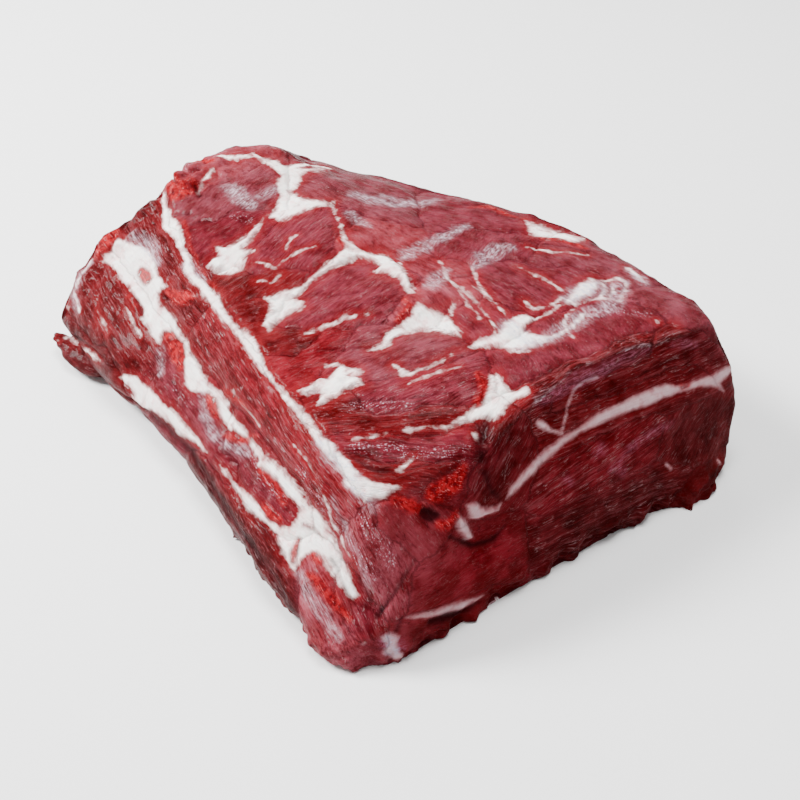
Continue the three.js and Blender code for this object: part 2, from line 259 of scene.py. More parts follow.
# Silverskin as lines, as above; the lines named sheen, on the cut end, are a painted sheen.
VEIL_AND_SHEEN = {
    "back lobe": [(226, 186, 2.0), (239, 196, 4.0), (250, 204, 2.4)],
    "back lobe two": [(262, 196, 1.6), (274, 190, 1.6)],
    "crest foot": [(318, 440, 2.0), (340, 470, 2.6), (362, 496, 2.0), (372, 505, 1.4)],
    "crest shade": [(186, 262, 2.0), (200, 276, 2.0)],
    "seam shade": [(132, 236, 2.6), (150, 246, 3.0), (158, 262, 2.0)],
    "silver one": [(478, 263, 3.0), (487, 256, 4.4), (498, 251, 4.4), (508, 248, 2.2)],
    "silver two": [(430, 287, 2.4), (440, 277, 3.6), (446, 270, 1.8)],
    "silver three": [(402, 252, 1.6), (424, 247, 2.0), (440, 238, 1.6), (456, 230, 1.4)],
    "silver four": [(350, 214, 2.0), (358, 221, 2.4), (366, 227, 1.4)],
    "silver rim": [(383, 199, 2.0), (408, 204, 2.6), (424, 202, 2.0), (436, 199, 1.4)],
    "silver net": [(566, 301, 2.6), (581, 292, 5.0), (600, 288, 5.4), (616, 291, 4.6), (622, 283, 2.6)],
    "silver net low": [(586, 315, 2.6), (600, 312, 3.4), (612, 306, 3.6), (618, 298, 2.8)],
    "silver knot": [(508, 326, 3.4), (520, 334, 4.0), (530, 341, 2.6)],
    "silver tip": [(632, 272, 2.6), (646, 282, 2.0)],
    "bulge rim": [(90, 262, 1.4), (80, 278, 2.0), (74, 296, 2.2), (77, 310, 1.6)],
    "seam low": [(203, 396, 1.6), (206, 414, 2.2), (212, 432, 2.0), (232, 446, 2.6), (246, 454, 2.0)],
    "bulge streak": [(158, 350, 1.2), (160, 372, 1.6)],
    "tendon": [(298, 572, 1.0), (308, 594, 1.8), (322, 614, 1.6), (338, 636, 0.8)],
    "strip thread": [(330, 500, 0.4), (348, 540, 0.5), (368, 590, 0.4)],
    "far haze": [(356, 196, 3.0), (392, 206, 4.0), (428, 202, 3.0)],
    "far haze two": [(404, 258, 2.0), (420, 246, 3.0), (446, 234, 3.0), (466, 226, 2.0)],
    "ridge haze": [(520, 348, 2.0), (548, 338, 3.0), (574, 322, 3.0), (596, 312, 3.0)],
    "end sheen": [(540, 402, 1.6), (556, 392, 2.2), (580, 380, 2.6), (604, 370, 2.2), (626, 358, 1.6),
                  (650, 347, 0.9)],
    "end streak": [(676, 347, 0.6), (688, 343, 0.9), (697, 345, 0.5)],
    "eye sheen": [(612, 470, 1.2), (632, 450, 1.6), (654, 434, 1.2), (672, 424, 0.8)],
    "eye sheen two": [(596, 456, 0.8), (602, 449, 1.0), (606, 452, 0.6)],
    "eye sheen three": [(618, 468, 1.4), (624, 473, 1.2)],
    "eye sheen four": [(566, 480, 0.9), (572, 484, 0.9)],
    "foot fat": [(388, 644, 3.0), (394, 650, 4.0)],
}

BLOOD = {
    "seam eye": [(297, 541, 1.5), (294, 551, 1.9), (292, 560, 1.2)],
    "seam vein": [(303, 524, 0.8), (313, 528, 0.7), (320, 537, 0.5)],
    "seam vein two": [(128, 296, 0.8), (134, 306, 0.6)],
    "seam top": [(116, 229, 2.6), (107, 243, 3.6), (98, 255, 2.6)],
    "seam spot": [(141, 271, 2.8), (147, 278, 3.6)],
    "seam tear": [(168, 292, 1.8), (178, 297, 3.2), (188, 299, 2.8), (194, 298, 1.0)],
    "seam patch": [(169, 336, 3.0), (173, 346, 4.0), (179, 358, 4.0), (182, 366, 2.0)],
    "seam patch two": [(208, 396, 2.0), (213, 403, 3.0), (217, 413, 2.4)],
    "seam thread": [(224, 391, 1.2), (232, 396, 1.4), (243, 404, 1.0), (256, 420, 0.8)],
    "seam thread two": [(224, 436, 1.4), (240, 440, 1.6), (256, 440, 1.2)],
    "second patch": [(266, 507, 1.6), (272, 513, 2.4), (279, 517, 1.6)],
    "second streak": [(262, 470, 1.4), (273, 484, 1.6), (284, 500, 1.4)],
    "tendon": [(314, 557, 1.4), (318, 562, 1.2)],
    "tendon long": [(306, 572, 0.8), (318, 584, 2.0), (333, 601, 2.2), (350, 620, 1.2)],
    "corner": [(396, 500, 1.8), (410, 505, 2.6), (420, 509, 2.0)],
    "corner knob": [(434, 494, 3.0), (446, 489, 3.6), (456, 482, 3.0), (464, 470, 1.6)],
    "corner low": [(441, 524, 1.6), (449, 527, 1.8), (458, 516, 1.6)],
    "knob": [(177, 170, 4.0), (173, 184, 4.4), (180, 197, 4.6), (194, 189, 3.0)],
    "knob top": [(190, 166, 2.6), (200, 165, 2.6), (212, 165, 1.8)],
    "crest side": [(184, 222, 0.6), (196, 262, 0.5), (214, 288, 0.5)],
    "rim": [(470, 208, 0.8), (490, 207, 1.0), (506, 214, 1.1), (524, 219, 0.7)],
    "rim low": [(540, 236, 1.2), (556, 240, 1.6), (574, 245, 1.4), (588, 250, 1.0)],
    "lobe three edge": [(404, 300, 1.4), (410, 308, 1.6), (398, 320, 1.2)],
    "lobe four edge": [(480, 374, 1.4), (484, 390, 1.6), (478, 402, 1.4)],
    "end spot": [(684, 386, 1.0), (690, 384, 1.0)],
    "lobe tip": [(352, 252, 0.8), (340, 240, 0.8)],
}

# Where painted highlights go: pale wet glints along the fibres.
PAINTED_GLINT_LINES = {
    "strip front": [(300, 470, 3.0), (330, 520, 5.0), (352, 552, 5.0), (372, 574, 4.0)],
    "strip front two": [(360, 520, 4.0), (380, 545, 4.0), (392, 565, 3.0)],
    "front lobes": [(352, 444, 3.0), (380, 448, 4.0), (410, 452, 4.0), (446, 452, 3.0), (470, 446, 2.0)],
    "front lobe": [(352, 404, 2.5), (380, 402, 3.0), (410, 405, 2.5)],
    "back lobe": [(234, 214, 3.0), (248, 220, 3.0)],
    "far edge": [(580, 320, 2.5), (610, 312, 3.0), (646, 316, 2.5)],
    "second seam": [(250, 452, 3.0), (266, 482, 3.0), (284, 500, 2.0)],
    "wide seam": [(176, 390, 2.0), (190, 402, 2.0)],
    "knob": [(178, 176, 3.0), (196, 170, 2.6)],
}

# Hollows, dented and darkened with painted shade: as above, with the depth in millimetres as a fourth number.
SHADED_HOLLOWS = {
    "knob pit": [(196, 190, 1.6, 2.0), (200, 198, 1.8, 2.0)],
    "knob pit two": [(176, 214, 1.4, 1.0), (190, 214, 1.4, 1.0)],
    "seam side": [(136, 300, 1.2, 1.2), (142, 316, 1.4, 1.2), (150, 332, 1.0, 0.8)],
    "tear pit": [(163, 297, 1.4, 1.6), (172, 300, 1.0, 1.2)],
    "tear pit two": [(186, 303, 1.2, 1.4), (194, 302, 1.2, 1.4)],
    "corner hole": [(424, 513, 2.2, 4.0), (431, 516, 2.4, 4.5), (438, 516, 1.6, 3.0)],
    "corner line": [(452, 538, 1.2, 1.6), (474, 546, 1.6, 2.0), (494, 541, 1.8, 2.0),
                    (505, 528, 1.2, 1.4)],
    "top recess": [(489, 417, 2.2, 1.5), (482, 430, 3.4, 2.0), (480, 444, 3.6, 2.0), (484, 460, 3.0, 1.5)],
    "end step": [(486, 474, 2.0, 1.6), (492, 490, 1.8, 1.4), (500, 500, 1.4, 1.0)],
    "foot gap": [(432, 624, 2.4, 2.2), (448, 618, 2.8, 2.6), (464, 613, 2.2, 2.2), (480, 603, 1.2, 1.2)],
    "foot slit": [(404, 618, 1.0, 1.4), (398, 632, 1.4, 1.6)],
    "front cut": [(416, 560, 0.9, 0.9), (396, 592, 1.2, 1.2), (378, 618, 1.2, 1.2)],
    "tendon side": [(330, 560, 1.0, 1.2), (342, 586, 1.2, 1.4), (354, 606, 1.0, 1.2)],
    "second low": [(240, 506, 1.0, 1.0), (262, 528, 1.2, 1.2), (284, 556, 1.2, 1.2)],
    "bar one low": [(296, 300, 0.8, 0.8), (276, 312, 1.2, 1.2), (264, 322, 1.4, 1.2)],
    "lobe two low": [(270, 345, 1.0, 1.0), (300, 340, 0.8, 0.8)],
    "lobe crease": [(330, 296, 0.7, 0.7), (366, 292, 0.6, 0.6)],
    "lobe three low": [(310, 352, 0.8, 0.8), (350, 350, 0.7, 0.7), (380, 347, 0.5, 0.5)],
    "lobe four low": [(352, 400, 1.0, 1.0), (400, 398, 0.8, 0.8), (446, 392, 0.6, 0.6)],
    "front crease": [(350, 455, 1.2, 1.2), (372, 468, 1.4, 1.6), (396, 472, 1.0, 1.0),
                     (440, 462, 0.7, 0.7)],
    "front crease two": [(345, 440, 0.8, 0.8), (390, 440, 0.7, 0.7), (440, 446, 0.6, 0.6)],
    "front crease three": [(330, 424, 0.8, 0.8), (380, 420, 0.7, 0.7), (430, 414, 0.5, 0.5)],
    "rim shade": [(545, 244, 1.0, 1.0), (570, 248, 1.2, 1.2), (590, 254, 0.8, 0.8)],
    "eye foot": [(560, 556, 1.4, 1.0), (610, 540, 1.4, 1.0), (660, 510, 1.4, 1.0)],
    "eye notch": [(700, 490, 1.2, 1.2), (718, 470, 1.6, 1.6)],
    "end line": [(690, 335, 0.7, 0.6), (660, 345, 0.9, 0.7), (620, 364, 0.9, 0.7), (570, 386, 0.9, 0.7)],
    "end line two": [(706, 352, 0.8, 0.6), (660, 366, 1.0, 0.7), (610, 392, 1.0, 0.7),
                     (560, 412, 0.8, 0.5)],
    "flap root": [(64, 330, 1.0, 1.0), (80, 340, 1.2, 1.2), (104, 358, 1.0, 1.0)],
    "foot dark": [(150, 416, 3.4, 1.6), (166, 428, 4.0, 1.7), (182, 444, 3.6, 1.6), (198, 466, 3.0, 1.4),
                  (214, 492, 2.6, 1.3), (236, 526, 2.6, 1.2), (262, 560, 2.4, 1.1), (284, 596, 2.0, 1.1)],
    "foot shade": [(112, 383, 1.0, 1.0), (140, 410, 1.6, 1.6), (164, 424, 1.6, 1.4)],
}

# The shades of the lean, as seen in soft light.
SHADES = {
    "maroon": (120, 6, 12),
    "deep red": (150, 10, 20),
    "dark cherry": (165, 40, 62),
    "red": (200, 32, 54),
    "rose": (182, 64, 84),
    "dusty rose": (188, 86, 102),
    "light rose": (226, 90, 106),
    "pale rose": (248, 120, 138),
    "hidden dark": (116, 32, 42),
    "hidden red": (138, 46, 56),
}

# Each muscle: the line through its middle, the way its fibres run (two places in the photo), how much
# longer than wide its fibres are, and its shade.
MUSCLES = {
    "knob": ([(172, 176), (196, 170), (222, 166)], (172, 190, 215, 165), 2.0, "pale rose"),
    "back lobe": ([(192, 214), (222, 200), (262, 180)], (206, 224, 276, 176), 5.0, "dusty rose"),
    "back lobe low": ([(196, 234), (214, 252), (238, 228)], (196, 250, 262, 214), 5.0, "dark cherry"),
    "lobe one": ([(262, 262), (296, 236), (334, 218)], (256, 282, 340, 214), 6.0, "rose"),
    "lobe one low": ([(224, 282), (240, 292), (262, 282)], (226, 292, 268, 262), 5.0, "deep red"),
    "lobe two": ([(300, 318), (342, 296), (390, 282)], (292, 340, 396, 276), 6.0, "rose"),
    "lobe two low": ([(248, 312), (266, 338), (292, 344)], (250, 340, 300, 324), 5.0, "deep red"),
    "lobe three": ([(336, 372), (380, 360), (444, 344)], (322, 384, 440, 338), 6.0, "dusty rose"),
    "lobe three low": ([(276, 366), (296, 376), (320, 360)], (270, 376, 330, 352), 5.0, "red"),
    "lobe four": ([(380, 400), (430, 388), (474, 372)], (362, 410, 476, 366), 7.0, "rose"),
    "front lobe": ([(320, 412), (370, 424), (440, 420)], (324, 420, 450, 408), 7.0, "deep red"),
    "front lobe two": ([(352, 444), (400, 452), (464, 446)], (350, 440, 466, 452), 7.0, "dark cherry"),
    "front lobe three": ([(352, 462), (390, 476), (440, 468)], (352, 462, 440, 474), 6.0, "deep red"),
    "far back": ([(320, 184), (360, 196), (410, 214)], (330, 184, 420, 222), 6.0, "dusty rose"),
    "far two": ([(366, 232), (410, 246), (440, 262)], (356, 224, 430, 262), 5.0, "light rose"),
    "far three": ([(430, 212), (470, 214), (510, 226)], (430, 214, 510, 226), 5.0, "rose"),
    "far four": ([(440, 250), (470, 240), (520, 238)], (440, 262, 480, 226), 4.0, "rose"),
    "far five": ([(510, 280), (545, 286), (580, 272)], (500, 272, 560, 306), 6.0, "rose"),
    "far six": ([(430, 300), (450, 292)], (425, 284, 452, 306), 5.0, "pale rose"),
    "far seven": ([(470, 318), (486, 326)], (460, 300, 492, 330), 6.0, "rose"),
    "far rim": ([(560, 254), (600, 262), (624, 272)], (560, 248, 620, 272), 6.0, "dusty rose"),
    "band": ([(512, 366), (550, 352), (594, 334), (640, 310)], (520, 340, 548, 372), 4.0, "rose"),
    "band right": ([(650, 300), (684, 308), (706, 318)], (640, 296, 700, 316), 2.5, "dusty rose"),
    "strip back": ([(140, 222), (176, 262), (206, 312)], (140, 214, 208, 322), 12.0, "deep red"),
    "strip": ([(206, 312), (250, 376), (300, 448), (350, 520)], (214, 322, 350, 520), 14.0, "red"),
    "strip tip": ([(350, 520), (380, 560), (392, 590)], (340, 500, 378, 590), 12.0, "pale rose"),
    "strip corner": ([(400, 520), (420, 530)], (380, 500, 430, 560), 6.0, "light rose"),
    "bulge": ([(92, 290), (116, 330), (150, 372)], (88, 272, 150, 376), 9.0, "deep red"),
    "lower mid": ([(150, 372), (196, 424), (232, 470)], (150, 372, 232, 476), 9.0, "rose"),
    "lower strip": ([(226, 452), (262, 492), (282, 508)], (226, 448, 284, 516), 8.0, "dark cherry"),
    "lower front": ([(200, 470), (240, 530), (284, 590)], (204, 470, 284, 600), 9.0, "maroon"),
    "tendon": ([(308, 586), (330, 620), (350, 648)], (304, 560, 348, 640), 10.0, "pale rose"),
    "tendon side": ([(344, 606), (360, 632)], (330, 570, 362, 636), 9.0, "dark cherry"),
    "flap": ([(58, 350), (84, 362), (104, 372)], (58, 350, 104, 376), 6.0, "maroon"),
    "end wedge": ([(560, 400), (620, 378), (700, 352)], (540, 420, 700, 348), 12.0, "deep red"),
    "end sheen": ([(540, 396), (590, 374), (640, 350)], (530, 402, 650, 342), 14.0, "deep red"),
    "end wedge low": ([(560, 424), (620, 402), (690, 372)], (556, 428, 690, 374), 12.0, "deep red"),
    "end left": ([(500, 430), (506, 456), (500, 480)], (494, 488, 530, 420), 8.0, "maroon"),
    "eye": ([(560, 490), (600, 466), (650, 440)], (520, 520, 660, 424), 13.0, "red"),
    "eye right": ([(680, 440), (704, 440)], (664, 480, 716, 400), 8.0, "maroon"),
    "eye low": ([(540, 540), (600, 512), (670, 484)], (530, 540, 680, 470), 13.0, "maroon"),
    "eye lobe": ([(690, 500), (712, 484)], (680, 510, 720, 480), 3.0, "deep red"),
    "end strip": ([(430, 590), (470, 566), (520, 550)], (430, 600, 520, 540), 5.0, "red"),
    "end foot": ([(420, 634), (450, 626), (480, 610)], (410, 640, 490, 604), 3.0, "deep red"),
}

# Muscles on the sides that the photo doesn't show: points and fibre directions in millimetres.
HIDDEN_MUSCLES = {
    "back top": ([(-160, -20, 78), (-160, 20, 74)], (0.0, 1.0, 0.15), 3.0, "hidden dark"),
    "back eye": ([(-160, -20, 36), (-160, 30, 30)], (0.0, 0.9, 0.5), 3.0, "hidden dark"),
    "back strip": ([(-160, -74, 54), (-160, -80, 40)], (0.0, 0.6, 0.8), 3.0, "hidden dark"),
    "back low": ([(-160, -104, 26), (-160, -96, 10)], (0.0, 0.4, 0.9), 3.0, "hidden dark"),
    "far side top": ([(-120, 72, 60), (0, 110, 66), (120, 128, 66)], (1.0, 0.2, 0.0), 8.0, "hidden red"),
    "far side": ([(-120, 76, 30), (0, 118, 30), (120, 132, 34)], (1.0, 0.25, 0.1), 8.0, "hidden red"),
    "far side low": ([(-120, 74, 8), (0, 112, 8), (120, 126, 10)], (1.0, 0.2, -0.1), 8.0, "hidden red"),
    "under": ([(-130, 0, 0), (0, 20, 0), (130, 30, 0)], (1.0, 0.1, 0.0), 8.0, "hidden red"),
    "under near": ([(-130, -70, 0), (0, -60, 0), (130, -60, 0)], (1.0, 0.0, 0.0), 8.0, "hidden red"),
}


# Noise and small helpers.

def lattice(ix, iy, iz, seed):
    h = (ix * 374761393 + iy * 668265263 + iz * 2147483647 + seed * 974634777) & 0xFFFFFFFF
    h = ((h ^ (h >> 13)) * 1274126177) & 0xFFFFFFFF
    h = ((h ^ (h >> 16)) * 2246822519) & 0xFFFFFFFF
    return ((h ^ (h >> 15)) & 0xFFFFFF) / float(0x7FFFFF) - 1.0


def noise(p, size, seed):
    """Smooth noise from -1 to 1 with bumps about size wide."""
    q = p / size + 31.7
    i = np.floor(q).astype(np.int64)
    f = q - i
    f = f * f * (3.0 - 2.0 * f)
    out = np.zeros(len(p))
    for dx in (0, 1):
        wx = f[:, 0] if dx else 1.0 - f[:, 0]
        for dy in (0, 1):
            wy = f[:, 1] if dy else 1.0 - f[:, 1]
            for dz in (0, 1):
                wz = f[:, 2] if dz else 1.0 - f[:, 2]
                out += wx * wy * wz * lattice(i[:, 0] + dx, i[:, 1] + dy, i[:, 2] + dz, seed)
    return out


def layered(p, size, seed, rounds):
    """Noise with finer and lower noise added round by round."""
    total = np.zeros(len(p))
    height = 1.0
    for k in range(rounds):
        total += height * noise(p, size / 2 ** k, seed + k)
        height *= 0.5
    return total


def ramp(x, low, high):
    t = np.clip((x - low) / (high - low), 0.0, 1.0)
    return t * t * (3.0 - 2.0 * t)


def linear(rgb):
    c = np.array(rgb, float) / 255.0
    return np.where(c <= 0.04045, c / 12.92, ((c + 0.055) / 1.055) ** 2.4)


# The skin: one fine closed mesh round all the CAD pieces.

def cad_copy(name, out):
    """The CAD piece as merged vertices and triangles in millimetres, moved outwards by out."""
    bm = bmesh.new()
    bm.from_mesh(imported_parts[name].data)
    bmesh.ops.remove_doubles(bm, verts=bm.verts, dist=1e-6)
    bmesh.ops.triangulate(bm, faces=bm.faces)
    bm.normal_update()
    verts = np.array([v.co[:] for v in bm.verts]) / MM
    normals = np.array([v.normal[:] for v in bm.verts])
    faces = np.array([[v.index for v in f.verts] for f in bm.faces])
    bm.free()
    return verts + out * normals, faces


def voxel_skin(verts, faces):
    """All the pieces as one even mesh of quads, in millimetres."""
    mesh = bpy.data.meshes.new("skin")
    mesh.from_pydata((verts * MM).tolist(), [], faces.tolist())
    thing = bpy.data.objects.new("skin", mesh)
    bpy.context.scene.collection.objects.link(thing)
    remesh = thing.modifiers.new("remesh", "REMESH")
    remesh.mode = "VOXEL"
    remesh.voxel_size = VOXEL * MM
    made = thing.evaluated_get(bpy.context.evaluated_depsgraph_get()).to_mesh()
    points = np.empty(len(made.vertices) * 3)
    made.vertices.foreach_get("co", points)
    corners = np.empty(len(made.loops), np.int64)
    made.loops.foreach_get("vertex_index", corners)
    assert len(corners) == 4 * len(made.polygons)
    thing.to_mesh_clear()
    bpy.data.objects.remove(thing)
    bpy.data.meshes.remove(mesh)
    return points.reshape(-1, 3) / MM, corners.reshape(-1, 4)


def largest_shell(points, quads):
    """Only the outer shell, without pockets inside."""
    label = np.arange(len(points))
    for _ in range(2000):
        lowest = label.copy()
        for k in range(4):
            np.minimum.at(lowest, quads[:, k], label[quads[:, (k + 1) % 4]])
            np.minimum.at(lowest, quads[:, (k + 1) % 4], label[quads[:, k]])
        lowest = lowest[lowest]
        lowest = lowest[lowest]
        if np.array_equal(lowest, label):
            break
        label = lowest
    values, counts = np.unique(label, return_counts=True)
    keep = label == values[np.argmax(counts)]
    index = np.cumsum(keep) - 1
    return points[keep], index[quads[keep[quads[:, 0]]]]


class Skin:
    def __init__(self, points, quads):
        self.p = points
        self.q = quads
        self.n = len(points)
        self.start = np.concatenate([quads[:, k] for k in range(4)])
        self.end = np.concatenate([quads[:, (k + 1) % 4] for k in range(4)])
        self.valence = np.bincount(self.start, minlength=self.n)

    def mean(self, values):
        if values.ndim == 1:
            return np.bincount(self.start, values[self.end], self.n) / self.valence
        return np.stack([self.mean(values[:, k]) for k in range(values.shape[1])], 1)

    def spread(self, values, rounds, weight=0.5):
        for _ in range(rounds):
            w = weight if np.isscalar(weight) or values.ndim == 1 else weight[:, None]
            values = values + w * (self.mean(values) - values)
        return values

    def normals(self):
        a, b, c, d = (self.p[self.q[:, k]] for k in range(4))
        face = np.cross(c - a, d - b)
        total = np.zeros((self.n, 3))
        for k in range(4):
            for axis in range(3):
                total[:, axis] += np.bincount(self.q[:, k], face[:, axis], self.n)
        return total / np.maximum(np.linalg.norm(total, axis=1), 1e-9)[:, None]

    def tree(self):
        return BVHTree.FromPolygons(self.p.tolist(), self.q.tolist())


def ray(px, py):
    """The direction from the camera through a pixel of the photo."""
    d = -BACK + RIGHT * (px - PICTURE / 2) / FOCAL + UPWARD * (PICTURE / 2 - py) / FOCAL
    return d / np.linalg.norm(d)


def laid(line, tree):
    """A line of the photo laid onto the skin: points in millimetres with their other numbers."""
    rows = np.array(line, float)
    out = []
    for a, b in zip(rows[:-1], rows[1:]):
        steps = max(1, int(np.hypot(*(b - a)[:2]) / 4.0))
        for s in range(steps):
            out.append(a + (b - a) * s / steps)
    out.append(rows[-1])
    places = []
    for row in out:
        hit = tree.ray_cast(Vector(EYE), Vector(ray(row[0], row[1])))[0]
        if hit is not None:
            places.append(np.concatenate([np.array(hit), row[2:]]))
    return np.array(places)


def to_line(p, rows, far):
    """For each point: its distance to the line and the line's other numbers where it is nearest."""
    best = np.full(len(p), far)
    near = np.zeros((len(p), rows.shape[1] - 3))
    for a, b in zip(rows[:-1], rows[1:]):
        if np.linalg.norm((b - a)[:3]) > 15.0:
            continue
        low = np.minimum(a, b)[:3] - far
        high = np.maximum(a, b)[:3] + far
        inside = np.nonzero(np.all((p > low) & (p < high), axis=1))[0]
        if not len(inside):
            continue
        along = (b - a)[:3]
        t = np.clip((p[inside] - a[:3]) @ along / max(along @ along, 1e-9), 0.0, 1.0)
        d = np.linalg.norm(p[inside] - a[:3] - t[:, None] * along, axis=1)
        better = d < best[inside]
        chosen = inside[better]
        best[chosen] = d[better]
        near[chosen] = a[3:] + t[better][:, None] * (b - a)[3:]
    return best, near


def edge_distance(p, lines, tree, wider=1.0, far=REACH):
    """The distance to the nearest line's edge in millimetres: below 0 within it, far at most."""
    best = np.full(len(p), far)
    for line in lines.values():
        rows = laid(line, tree)
        if len(rows) < 2:
            continue
        low = rows[:, :3].min(0) - far
        high = rows[:, :3].max(0) + far
        box = np.nonzero(np.all((p > low) & (p < high), axis=1))[0]
        d, wide = to_line(p[box], rows, far)
        wide = wide[:, 0] * np.where(wide[:, 0] > 0.9, wider, 1.0)
        best[box] = np.minimum(best[box], np.where(d < far, d - wide, far))
    return best


def in_picture(p):
    """Where each point falls in the photo, in pixels, and how many millimetres a pixel is there."""
    q = p - EYE
    depth = -(q @ BACK)
    across = PICTURE / 2 + FOCAL * (q @ RIGHT) / depth
    down = PICTURE / 2 - FOCAL * (q @ UPWARD) / depth
    return np.stack([across, down], 1), depth / FOCAL


def patch_distance(place, pixel, outline, far=REACH):
    """The distance to an outline in millimetres: below 0 within it."""
    best = np.full(len(place), far)
    corners = np.array(outline, float)
    reach = far / pixel.min()
    box = np.nonzero(np.all((place > corners.min(0) - reach) & (place < corners.max(0) + reach), axis=1))[0]
    q = place[box]
    nearest = np.full(len(q), 1e9)
    crossings = np.zeros(len(q), int)
    for a, b in zip(corners, np.roll(corners, -1, axis=0)):
        t = np.clip((q - a) @ (b - a) / ((b - a) @ (b - a)), 0.0, 1.0)
        nearest = np.minimum(nearest, np.linalg.norm(q - a - t[:, None] * (b - a), axis=1))
        if a[1] != b[1]:
            spans = (a[1] > q[:, 1]) != (b[1] > q[:, 1])
            at = a[0] + (q[:, 1] - a[1]) * (b[0] - a[0]) / (b[1] - a[1])
            crossings += spans & (q[:, 0] < at)
    signed = np.where(crossings % 2 == 1, -nearest, nearest) * pixel[box]
    best[box] = np.minimum(signed, far)
    return best


def hollows(p, lines, tree):
    """How deep each point lies in the hollows, in millimetres: it dents the relief and sets the painted
    shade.
    """
    depth = np.zeros(len(p))
    for line in lines.values():
        rows = laid(line, tree)
        if len(rows) < 2:
            continue
        low = rows[:, :3].min(0) - REACH
        high = rows[:, :3].max(0) + REACH
        box = np.nonzero(np.all((p > low) & (p < high), axis=1))[0]
        d, near = to_line(p[box], rows, REACH)
        value = near[:, 1] * np.exp(-(d / np.maximum(near[:, 0], 0.3)) ** 2)
        depth[box] = np.maximum(depth[box], np.where(d < REACH, value, 0.0))
    return depth


def spine_points(spine, tree):
    """Points along a muscle's middle; a spine of three numbers a point is in millimetres already."""
    if len(spine[0]) == 3:
        rows = np.array(spine, float)
        out = [a + (b - a) * s / 12 for a, b in zip(rows[:-1], rows[1:]) for s in range(13)]
        return np.array(out)
    rows = laid(spine, tree)
    return rows[:, :3]


def muscles(p, bent, soft, sighted, tree):
    """How streaked each point's muscle is, how far its edge is, its colour and its place along its fibres."""
    names = list(MUSCLES) + list(HIDDEN_MUSCLES)
    distances = np.empty((len(names), len(p)), np.float32)
    colours = np.empty((len(names), 3))
    frames = []
    stretch = []
    for k, name in enumerate(names):
        shown = name in MUSCLES
        spine, way, longer, shade = MUSCLES[name] if shown else HIDDEN_MUSCLES[name]
        points = spine_points(spine, tree)
        if shown:
            ends = laid([way[:2], way[2:]], tree)
            along = (ends[-1] - ends[0])[:3]
        else:
            along = np.array(way)
        along = along / np.linalg.norm(along)
        side = np.cross(along, [0.31, -0.17, 0.93])
        side = side / np.linalg.norm(side)
        frames.append(np.stack([along, side, np.cross(along, side)]))
        stretch.append(longer)
        colours[k] = linear(SHADES[shade]) / BRIGHTNESS
        best = np.full(len(p), 1e9, np.float32)
        for q in points[::2]:
            best = np.minimum(best, ((bent - q) ** 2).sum(1).astype(np.float32))
        best = np.sqrt(best)
        distances[k] = best + np.where(sighted > 0.5, 0.0 if shown else 60.0, 25.0 if shown else 0.0)
    order = np.argpartition(distances, 1, axis=0)[:2]
    pair = np.take_along_axis(distances, order, 0)
    first = np.where(pair[0] <= pair[1], order[0], order[1])
    gap = np.abs(pair[1] - pair[0])
    weights = np.exp(-(distances - pair.min(0)) / soft)
    colour = (weights.T @ colours) / weights.sum(0)[:, None]
    grain = np.empty((len(p), 3))
    for k in range(len(names)):
        mine = first == k
        turned = p[mine] @ frames[k].T
        grain[mine] = turned / np.array([stretch[k], 1.0, 1.0]) + 13.0 * k
    streak = np.clip((np.array(stretch)[first] - 1.0) / 12.0, 0.2, 1.0)
    return streak, gap, colour, grain


def sight(p, n, tree):
    """1 where the camera sees the skin, 0 elsewhere."""
    to_eye = EYE - p
    to_eye /= np.linalg.norm(to_eye, axis=1)[:, None]
    facing = (n * to_eye).sum(1)
    sighted = (facing > 0.08).astype(float)
    candidates = np.nonzero(sighted)[0]
    for i in candidates:
        start = p[i] + 0.8 * n[i] + 0.6 * to_eye[i]
        if tree.ray_cast(Vector(start), Vector(to_eye[i]), 400.0)[0] is not None:
            sighted[i] = 0.0
    return sighted


# Materials.

class Nodes:
    """A short way to write shader nodes."""

    def __init__(self, tree):
        self.tree = tree

    def put(self, socket, value):
        if isinstance(value, bpy.types.NodeSocket):
            self.tree.links.new(value, socket)
        else:
            socket.default_value = value

    def math(self, kind, a, b=0.0):
        node = self.tree.nodes.new("ShaderNodeMath")
        node.operation = kind
        for socket, value in zip(node.inputs, (a, b)):
            self.put(socket, value)
        return node.outputs[0]

    def attribute(self, name, output="Fac"):
        node = self.tree.nodes.new("ShaderNodeAttribute")
        node.attribute_name = name
        return node.outputs[output]

    def noise(self, vector, scale, detail=2.0, roughness=0.5):
        node = self.tree.nodes.new("ShaderNodeTexNoise")
        self.put(node.inputs["Vector"], vector)
        node.inputs["Scale"].default_value = scale
        node.inputs["Detail"].default_value = detail
        node.inputs["Roughness"].default_value = roughness
        return node.outputs["Fac"]

    def mix(self, factor, a, b, blend="MIX"):
        node = self.tree.nodes.new("ShaderNodeMix")
        node.data_type = "RGBA"
        node.blend_type = blend
        self.put(node.inputs[0], factor)
        self.put(node.inputs[6], a)
        self.put(node.inputs[7], b)
        return node.outputs[2]

    def span(self, value, low, high, to_low=0.0, to_high=1.0):
        node = self.tree.nodes.new("ShaderNodeMapRange")
        node.interpolation_type = "SMOOTHSTEP"
        self.put(node.inputs["Value"], value)
        node.inputs["From Min"].default_value = low
        node.inputs["From Max"].default_value = high
        node.inputs["To Min"].default_value = to_low
        node.inputs["To Max"].default_value = to_high
        return node.outputs["Result"]


def rgba(rgb):
    return (*linear(rgb), 1.0)


def lit(rgb):
    """The surface colour that looks like rgb in this light."""
    return (*(linear(rgb) / BRIGHTNESS), 1.0)


